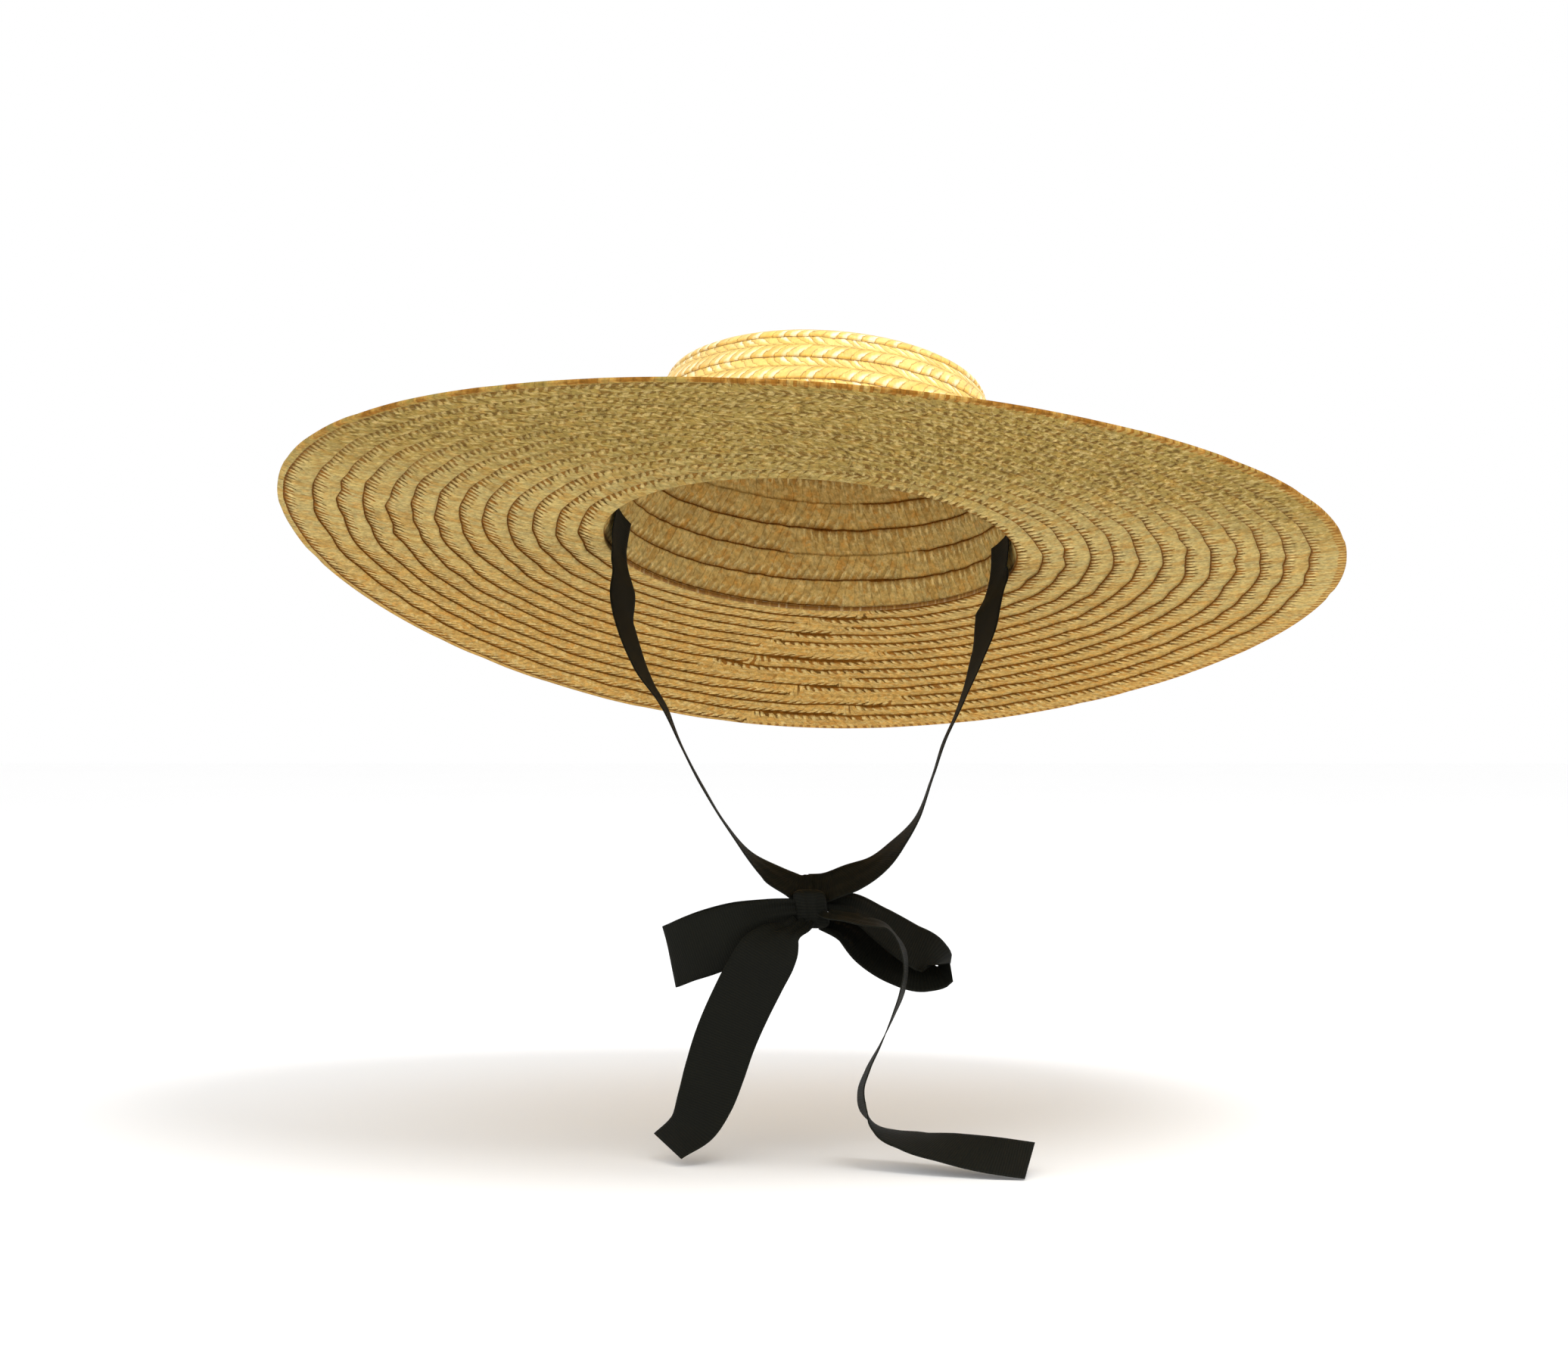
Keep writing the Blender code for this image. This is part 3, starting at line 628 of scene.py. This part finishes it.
def outerStraw(name):
    # fishbone plait: the straws slant one way below the middle of the row and the other way above it
    material, shader, s = newMaterial(name, outer["roughness"])
    u, v = s.uv("plait")
    row = v.floor()
    share = v.fract()
    wobble = s.noise(s.joined(u * 1.1, row * 4.1), detail=2.0) - 0.5
    jag = s.noise(s.joined(u * 6.0, row * 2.3, share * 3.0), detail=2.0) - 0.5
    middleAt = 0.5 + wobble * 0.10
    half = share > middleAt
    fromMiddle = (share - middleAt).abs()
    slanted = fromMiddle * (outer["slant"] - fromMiddle * outer["slantCurve"])
    strawAt = u + slanted + half * 0.5 + wobble * 0.8 + jag * 0.34
    straw = strawAt.floor()
    inStraw = strawAt.fract()
    broken = s.noise(s.joined(u * 2.3, v * 4.7), detail=2.0).rise(0.34, 0.52)
    edge = inStraw.smaller(1.0 - inStraw).rise(0.0, 0.09)
    bulge = inStraw * (1.0 - inStraw) * 4.0
    middle = fromMiddle.rise(0.0, 0.06)
    tint = s.speck(straw, row, half)
    tint2 = s.speck(straw, row, half + 3.0)
    fibre = s.noise(s.joined(inStraw * 7.0 + straw * 5.0, share * 1.2, row), detail=3.0, roughness=0.6)
    mottle = s.noise(s.place(), scale=outer["mottleScale"], detail=2.0)
    grain = s.noise(s.place(), scale=outer["grainScale"], detail=2.0).rise(0.25, 0.75)
    seam = (1.0 - (share + jag * 0.09 + wobble * 0.05).rise(0.020, 0.085)) * (0.60 + broken * 0.40)
    # painted highlight: near-white on one side of each straw, away from the row's middle
    glint = inStraw.rise(0.35, 0.80) * (1.0 - inStraw.rise(0.86, 1.0)) * fromMiddle.rise(0.05, 0.30)
    base = painted(
        tint.mix(outer["gold"], outer["light"]),
        (glint * tint2.rise(0.25, 0.60), outer["pale"]),
        ((1.0 - fibre.rise(0.3, 0.6)) * 0.30, outer["gold"]),
        ((1.0 - edge).larger((1.0 - middle) * 0.5) * broken * 0.85, outer["edge"]),
        (seam, outer["line"]))
    base = base.scaled(0.76 + mottle * 0.36 + grain * 0.20)
    height = (0.35 + bulge * 0.30 + inStraw * 0.35 + (fibre - 0.5) * 0.15 + (grain - 0.5) * 0.08
              - (1.0 - middle) * 0.25 - seam * 0.2)
    finishSurface(s, shader, base, outer["roughness"] - 0.08 + mottle * 0.2, height, outer)
    return material


# Ribbon

ribbon = {
    "width": 0.028,
    "thickness": 0.0005,
    "across": 16,
    "ribPitch": 0.0011,
    "colour": (0.0030, 0.0031, 0.0022),
    # paler colour for a painted sheen on the ribs and in the mottle; it also draws the paler edge lines
    "sheen": (0.0120, 0.0125, 0.0080),
    "edgeLine": 0.0011,
    "mottleScale": 60.0,
    "lintScale": 900.0,
    "roughness": 0.66,
    "relief": 0.00012,
    "shine": 0.10,
    "folds": 2.5,
    "foldSize": 0.054,
    "foldTurn": 0.6,
    "fullShare": 0.97,
    "stations": 150,
    "tuck": 0.016,
    "strapBack": 12.0,
    "strapSlant": 0.15,
    "chinDrop": 0.166,
    "chinForward": 0.075,
    "pinch": 0.42,
    "strapEndPinch": (0.88, 0.84),
    "strapEndSlope": 0.55,
    "strapEndBack": 0.75,
    "strapEndOut": (0.36, -0.08),
    "strapEndUp": 0.52,
    "strapStations": 170,
    "wallStations": 400,
    "solidThickness": 0.0010,
    "solidAround": 48,
}
knot = {
    "width": 0.0130,
    "height": 0.0160,
    "depth": 0.0140,
    "waist": 0.86,
    "slant": 0.16,
    "bulk": (1.25, 1.05, 1.08),
    "rootDepth": 0.26,
    "rootIn": 0.55,
    "squareness": 4,
    "foldDepth": 0.11,
    "foldCount": 9.0,
    "foldTurn": 0.7,
    "ribsFrom": 0.014,
    "edgeFrom": 0.004,
    "around": 96,
    "levels": 48,
}
knotAt = np.array([0.0, -ribbon["chinForward"], -ribbon["chinDrop"]])
knotHalf = np.array([knot["width"], knot["depth"], knot["height"]]) / 2

# Chin straps: down as a share of the drop to the knot, out as a share of the head's half width, forward
# as a share of the knot's place, then the way that the width points, and the width as a share
strapLeft = (
    (0.10, 0.906, -0.10, 0.24, 1.0, 0.0, 1.0),
    (0.18, 0.904, 0.09, 0.22, 1.0, 0.0, 1.0),
    (0.27, 0.863, 0.27, 0.19, 1.0, 0.0, 1.0),
    (0.37, 0.788, 0.45, 0.12, 1.0, 0.0, 1.0),
    (0.46, 0.690, 0.58, 0.03, 1.0, 0.0, 1.0),
    (0.57, 0.600, 0.66, -0.02, 1.0, 0.0, 1.0),
    (0.67, 0.510, 0.71, -0.01, 1.0, 0.0, 1.0),
    (0.77, 0.405, 0.76, -0.02, 1.0, 0.0, 1.0),
    (0.855, 0.290, 0.79, 0.00, 1.0, 0.08, 0.98),
    (0.908, 0.175, 0.83, 0.05, 0.95, 0.31, 0.88),
    (0.934, 0.100, 0.87, 0.08, 0.93, 0.38, 0.90),
)
strapRight = (
    (0.16, 0.878, -0.06, -0.24, 1.0, 0.0, 1.0),
    (0.27, 0.836, 0.17, -0.18, 1.0, 0.0, 1.0),
    (0.36, 0.780, 0.33, -0.07, 1.0, 0.0, 1.0),
    (0.46, 0.705, 0.47, 0.01, 1.0, 0.0, 1.0),
    (0.55, 0.632, 0.57, 0.02, 1.0, 0.0, 1.0),
    (0.65, 0.570, 0.65, 0.03, 1.0, 0.0, 1.0),
    (0.76, 0.495, 0.70, -0.01, 1.0, 0.0, 1.0),
    (0.83, 0.400, 0.75, -0.08, 1.0, 0.12, 1.0),
    (0.885, 0.300, 0.81, -0.14, 0.96, 0.26, 0.92),
    (0.920, 0.185, 0.85, -0.16, 0.91, 0.39, 0.92),
    (0.938, 0.110, 0.87, -0.12, 0.91, 0.40, 0.92),
)
loop = {
    "reachLeft": 0.064,
    "reachRight": 0.057,
    "rootsLeft": (-0.17, -0.17),
    "rootsRight": (0.35, -0.70),
    "wayLeft": (0.0, 0.0, -1.0),
    "wayRight": (0.0, -0.85, -0.50),
}
# Loops: out as a share of the loop's reach, forward and up as shares of the ribbon's width, and as above
loopLeft = (
    (0.28, 0.17, -0.13, 0.20, 0.0, -1.0, 0.60),
    (0.48, 0.33, -0.31, 0.26, 0.0, -1.0, 0.86),
    (0.70, 0.32, -0.51, 0.26, 0.0, -1.0, 1.0),
    (0.90, 0.22, -0.67, 0.22, 0.0, -1.0, 1.0),
    (0.99, 0.00, -0.77, 0.20, 0.0, -1.0, 1.0),
    (0.92, -0.23, -0.71, 0.22, 0.0, -1.0, 1.0),
    (0.70, -0.38, -0.52, 0.26, 0.0, -1.0, 1.0),
    (0.48, -0.36, -0.32, 0.26, 0.0, -1.0, 0.86),
    (0.28, -0.25, -0.15, 0.20, 0.0, -1.0, 0.60),
)
loopRight = (
    (0.32, -0.16, 0.03, -0.05, -0.84, -0.52, 0.74),
    (0.56, -0.19, -0.27, -0.10, -0.82, -0.56, 0.92),
    (0.78, -0.18, -0.57, -0.16, -0.80, -0.58, 1.0),
    (0.96, -0.17, -0.80, -0.12, -0.78, -0.61, 1.0),
    (1.01, -0.14, -0.93, -0.02, -0.80, -0.60, 1.0),
    (0.90, -0.11, -1.00, -0.12, -0.80, -0.59, 1.0),
    (0.66, -0.12, -0.88, -0.20, -0.80, -0.56, 1.0),
    (0.46, -0.16, -0.63, -0.22, -0.77, -0.60, 0.92),
    (0.27, -0.20, -0.34, -0.20, -0.84, -0.50, 0.72),
)
tail = {
    "reachLeft": 0.066,
    "reachRight": 0.093,
    "forward": 0.073,
    "drop": 0.108,
    "rootLeft": (-0.56, -1.11, -0.56),
    "rootRight": (0.98, -1.04, -0.13),
    "wayLeft": (0.97, 0.04, 0.10),
    "wayRight": (0.0, -0.98, -0.10),
    "stationsRight": 200,
}
# Free ends: sideways as a share of the tail's reach, forward and down as shares of theirs, and as above
tailLeft = (
    (0.105, 0.170, 0.065, 0.97, -0.22, 0.05, 0.54),
    (0.19, 0.22, 0.09, 0.95, -0.28, 0.02, 0.72),
    (0.27, 0.26, 0.15, 0.96, -0.24, -0.12, 0.94),
    (0.37, 0.28, 0.25, 0.96, -0.22, -0.16, 1.0),
    (0.48, 0.30, 0.38, 0.95, -0.20, -0.22, 1.0),
    (0.58, 0.32, 0.52, 0.94, -0.25, -0.23, 1.0),
    (0.65, 0.34, 0.65, 0.92, -0.33, -0.24, 1.0),
    (0.71, 0.37, 0.76, 0.84, -0.49, -0.26, 1.0),
    (0.79, 0.40, 0.86, 0.70, -0.68, -0.22, 1.0),
    (0.960, 0.445, 0.942, 0.60, -0.77, -0.13, 1.0),
)
tailRight = (
    (0.225, 0.33, 0.03, 0.05, -0.99, -0.10, 0.85),
    (0.360, 0.36, 0.060, 0.05, -0.99, -0.04, 0.98),
    (0.425, 0.38, 0.13, -0.11, -0.99, 0.08, 1.0),
    (0.445, 0.40, 0.225, -0.10, -0.99, 0.09, 1.0),
    (0.428, 0.415, 0.315, -0.11, -0.99, 0.10, 1.0),
    (0.388, 0.435, 0.405, -0.07, -0.99, 0.11, 1.0),
    (0.325, 0.46, 0.525, -0.01, -0.99, 0.12, 1.0),
    (0.262, 0.49, 0.63, 0.04, -0.99, 0.12, 1.0),
    (0.230, 0.515, 0.715, 0.07, -0.99, 0.13, 1.0),
    (0.240, 0.53, 0.78, 0.09, -0.99, 0.14, 1.0),
    (0.280, 0.55, 0.83, 0.02, -0.98, 0.10, 1.0),
    (0.345, 0.59, 0.866, -0.08, -0.99, -0.04, 1.0),
    (0.470, 0.68, 0.896, -0.16, -0.97, -0.16, 1.0),
    (0.635, 0.79, 0.912, -0.24, -0.92, -0.30, 1.0),
    (0.805, 0.88, 0.930, -0.25, -0.88, -0.40, 1.0),
    (1.000, 0.93, 0.950, -0.31, -0.86, -0.40, 1.0),
)


def tableRows(table, start, outward, forward, up):
    # place = start + each share times its length, then the width's way, the width and no bow
    shares = np.array(table, dtype=float)
    places = np.asarray(start) + shares[:, :3] * (outward, -forward, up)
    widths = shares[:, 6:7] * ribbon["width"]
    return np.hstack([places, shares[:, 3:6], widths, np.zeros_like(widths)])


def endRow(place, way, pinch):
    # one flat row, whose width is the pinch times the ribbon's width
    return np.array([[*place, *way, pinch * ribbon["width"], 0.0]])


def strapRows(table, side):
    # stitched flat inside the crown, then down to the knot, and behind its top
    chordRise = ribbon["width"] ** 2 / (8 * hat["headHalfWidth"])
    standOff = 2 * hat["clearance"] + ribbon["solidThickness"] / 2 + chordRise
    heights = np.array([ribbon["tuck"], ribbon["tuck"] / 2, 0.0, -hat["thickness"] - hat["lap"]])
    above = np.maximum(heights, 0.0)
    line = crownLine(ribbon["wallStations"])[0]
    wall = np.interp(above, line[::-1, 1], line[::-1, 0]) - hat["thickness"]
    wall = np.minimum(wall, hat["headHalfWidth"]) * math.cos(math.pi / ribbon["solidAround"])
    inward = standOff + ribbon["strapSlant"] * (ribbon["tuck"] - heights)
    reach = side * wall + hat["crownLean"] * above / hat["crownHeight"] - side * inward
    back = math.radians(ribbon["strapBack"])
    oval = hat["headHalfDepth"] / hat["headHalfWidth"]
    places = np.stack([reach * math.cos(back), np.abs(reach) * oval * math.sin(back), heights], axis=1)
    level = [[ribbon["width"], side * chordRise]] * len(heights)
    wide = [hatTurn() @ np.array([-side * math.sin(back), math.cos(back), 0.0])] * len(heights)
    tucked = np.hstack([places @ hatTurn().T, wide, level])
    shares = np.array(table)[:, [1, 2, 0, 3, 4, 5, 6]]
    hanging = tableRows(shares, (0.0, 0.0, 0.0), side * hat["headHalfWidth"],
                        ribbon["chinForward"], -ribbon["chinDrop"])
    ends = []
    for out, pinch in zip(ribbon["strapEndOut"], ribbon["strapEndPinch"]):
        away = (side * out * knot["width"], ribbon["strapEndBack"] * knot["depth"] + side * hat["lap"],
                ribbon["strapEndUp"] * knot["height"])
        ends.append(endRow(knotAt + away, (0.0, 1.0, ribbon["strapEndSlope"]), pinch))
    return np.vstack([tucked, hanging, *ends])


def loopRows(table, side, reach, ends, way):
    # both roots lie in the knot; the left loop starts in front of its middle and the right one behind it
    depth = knot["rootDepth"] * knot["depth"]
    first, last = [endRow(knotAt + (side * knot["rootIn"] * knotHalf[0], deep, up * knotHalf[2]), way,
                          ribbon["pinch"]) for deep, up in zip((side * depth, depth), ends)]
    middle = tableRows(table, knotAt, side * reach, ribbon["width"], ribbon["width"])
    return np.vstack([first, middle, last])


def tailRows(table, side, reach, root, way):
    # from a root in the knot, whose place is given as shares of the knot's half size
    start = endRow(knotAt + np.array(root) * knotHalf, way, ribbon["pinch"])
    return np.vstack([start, tableRows(table, knotAt, side * reach, tail["forward"], -tail["drop"])])


def unit(vectors):
    # each vector divided by its length
    return vectors / np.linalg.norm(vectors, axis=-1, keepdims=True)


def makeRibbon(name, node, rows, stations):
    # a closed thin strip: place + width's way * share * width + face's way * (bow + folds + half thickness)
    line, length = smoothRows(rows, stations)
    place = line[:, :3]
    way = unit(np.gradient(place, axis=0))
    side = line[:, 3:6]
    side = unit(side - np.sum(side * way, axis=1, keepdims=True) * way)
    face = np.cross(way, side)
    share = np.linspace(-0.5, 0.5, ribbon["across"] + 1)
    width = line[:, 6]
    gathered = np.clip(1.0 - width / ribbon["width"], 0.0, 1.0)
    pleats = np.cos(math.tau * ribbon["folds"] * share[None, :] + ribbon["foldTurn"])
    fold = ribbon["foldSize"] * ribbon["width"] * gathered[:, None] * pleats
    bow = line[:, 7:8] * (1 - 4 * share ** 2)[None, :]
    middle = place[:, None] + side[:, None] * (share[None, :] * width[:, None])[..., None]
    lift = (fold + bow)[..., None] * face[:, None]
    half = face[:, None] * ribbon["thickness"] / 2
    points = np.concatenate([middle + lift + half, (middle + lift - half)[:, ::-1]], axis=1)
    run = np.linspace(0.0, length, stations)
    around = np.concatenate([share, share[::-1]]) + 0.5
    around = np.append(around, around[0])
    uvs = np.stack(np.broadcast_arrays(run[:, None], around[None, :] * ribbon["width"]), axis=-1)
    piece = gridPiece(name, points, "weave", uvs)
    shape = bmesh.new()
    shape.from_mesh(piece.data)
    bmesh.ops.holes_fill(shape, edges=[e for e in shape.edges if e.is_boundary], sides=0)
    bmesh.ops.recalc_face_normals(shape, faces=shape.faces)
    shape.to_mesh(piece.data)
    shape.free()
    piece.data.materials.append(grosgrain())
    handOver(piece, node)
    print("ribbon:", name, "length", round(length, 4), "m")


def grosgrain():
    # fine ribs across the ribbon, mottled, with a painted sheen on the ribs and a paler line along each edge;
    # all ribbons share it
    found = bpy.data.materials.get("grosgrain")
    if found:
        return found
    material, shader, s = newMaterial("grosgrain", ribbon["roughness"])
    u, v = s.uv("weave")
    rib = (u / ribbon["ribPitch"]).wave()
    edge = v.smaller(ribbon["width"] - v).rise(0.0, ribbon["edgeLine"])
    mottle = s.noise(s.place(), scale=ribbon["mottleScale"], detail=3.0)
    lint = s.noise(s.place(), scale=ribbon["lintScale"], detail=1.0)
    # the ribs and mottle blend towards the sheen colour, a painted sheen
    colour = painted(
        (rib * 0.30 + mottle * 0.35 + lint * 0.15).mix(ribbon["colour"], ribbon["sheen"]),
        ((1.0 - edge) * 0.5, ribbon["sheen"]))
    height = rib * 0.7 + lint * 0.3
    finishSurface(s, shader, colour, ribbon["roughness"] + mottle * 0.15, height, ribbon)
    return material


def makeKnot():
    # squared ball: each direction divided by its fourth-power length, leaning, with upright folds in front
    turn = np.arange(knot["around"]) / knot["around"] * math.tau
    climb = np.linspace(-math.pi / 2, math.pi / 2, knot["levels"])[:, None]
    ball = np.stack(np.broadcast_arrays(np.cos(climb) * np.cos(turn), np.cos(climb) * np.sin(turn),
                                        np.sin(climb)), axis=-1)
    power = knot["squareness"]
    squared = ball / np.sum(np.abs(ball) ** power, axis=-1, keepdims=True) ** (1 / power)
    waist = knot["waist"] + (1 - knot["waist"]) * np.abs(squared[..., 2])
    front = np.maximum(-squared[..., 1], 0.0)
    ripple = 0.5 + 0.5 * np.cos(knot["foldCount"] * squared[..., 0] + knot["foldTurn"])
    across = squared[..., 0] * waist - knot["slant"] * squared[..., 2]
    deep = squared[..., 1] * (1.0 - knot["foldDepth"] * ripple * front)
    points = np.stack([across, deep, squared[..., 2]], axis=-1) * knotHalf * knot["bulk"] + knotAt
    u = squared[..., 0] * knot["width"]
    u = np.concatenate([u, u[:, :1]], axis=1)
    v = np.broadcast_to(climb * knot["height"] * 0.5 + knot["ribsFrom"], u.shape)
    uvs = np.stack([v, np.abs(u) + knot["edgeFrom"]], axis=-1)
    piece = gridPiece("bowKnot", points, "weave", uvs, poles=True)
    piece.data.materials.append(grosgrain())
    handOver(piece, "bow_knot")
    print("knot:", len(piece.data.polygons), "faces")


def makeRibbons():
    makeKnot()
    makeRibbon("chinStrapLeft", "chin_strap_left", strapRows(strapLeft, -1),
               ribbon["strapStations"])
    makeRibbon("chinStrapRight", "chin_strap_right", strapRows(strapRight, 1),
               ribbon["strapStations"])
    rows = loopRows(loopLeft, -1, loop["reachLeft"], loop["rootsLeft"], loop["wayLeft"])
    makeRibbon("bowLoopLeft", "bow_loop_left", rows, ribbon["stations"])
    rows = loopRows(loopRight, 1, loop["reachRight"], loop["rootsRight"], loop["wayRight"])
    makeRibbon("bowLoopRight", "bow_loop_right", rows, ribbon["stations"])
    rows = tailRows(tailLeft, -1, tail["reachLeft"], tail["rootLeft"], tail["wayLeft"])
    makeRibbon("tailLeft", "ribbon_tail_left", rows, ribbon["stations"])
    rows = tailRows(tailRight, 1, tail["reachRight"], tail["rootRight"], tail["wayRight"])
    makeRibbon("tailRight", "ribbon_tail_right", rows,
               tail["stationsRight"])


stage = {
    "drop": 0.0005,
    "size": 12.0,
    "floorColour": (0.985, 0.985, 0.985),
    "floorGrain": (0.975, 0.975, 0.975),
    "grainScale": 3.0,
    "roughness": 0.9,
    "worldColour": (1.0, 1.0, 1.0),
    "worldStrength": 1.0,
}
# name, place, aim, size, watts
lights = (
    ("topSoft", (0.5, -0.7, 1.6), (0.0, 0.0, 0.0), 0.9, 18.0),
    ("frontSoft", (-0.6, -1.9, 0.5), (0.0, 0.0, -0.08), 1.4, 4.0),
)


def makeStage():
    low = cadBox[0][2] - stage["drop"]
    mesh = bpy.data.meshes.new("paleFloor")
    reach = stage["size"] / 2
    corners = [(-reach, -reach, low), (reach, -reach, low), (reach, reach, low), (-reach, reach, low)]
    mesh.from_pydata(corners, [], [(0, 1, 2, 3)])
    floor = bpy.data.objects.new("paleFloor", mesh)
    bpy.context.scene.collection.objects.link(floor)
    material, shader, s = newMaterial("paleFloor", stage["roughness"])
    grain = s.noise(s.place(), scale=stage["grainScale"], detail=2.0)
    s.plug(shader.inputs["Base Color"], grain.mix(stage["floorColour"], stage["floorGrain"]))
    mesh.materials.append(material)
    world = bpy.data.worlds.new("softRoom")
    bpy.context.scene.world = world
    world.use_nodes = True
    sky = world.node_tree.nodes["Background"]
    sky.inputs["Color"].default_value = (*stage["worldColour"], 1)
    sky.inputs["Strength"].default_value = stage["worldStrength"]
    for name, place, aim, size, watts in lights:
        data = bpy.data.lights.new(name, "AREA")
        data.energy = watts
        data.shape = "DISK"
        data.size = size
        lamp = bpy.data.objects.new(name, data)
        lamp.location = place
        lamp.rotation_euler = (Vector(aim) - Vector(place)).to_track_quat("-Z", "Y").to_euler()
        bpy.context.scene.collection.objects.link(lamp)
    print("stage: floor at", round(low, 4))


makeCamera()
makeBrim()
makeCrown()
makeRibbons()
makeStage()
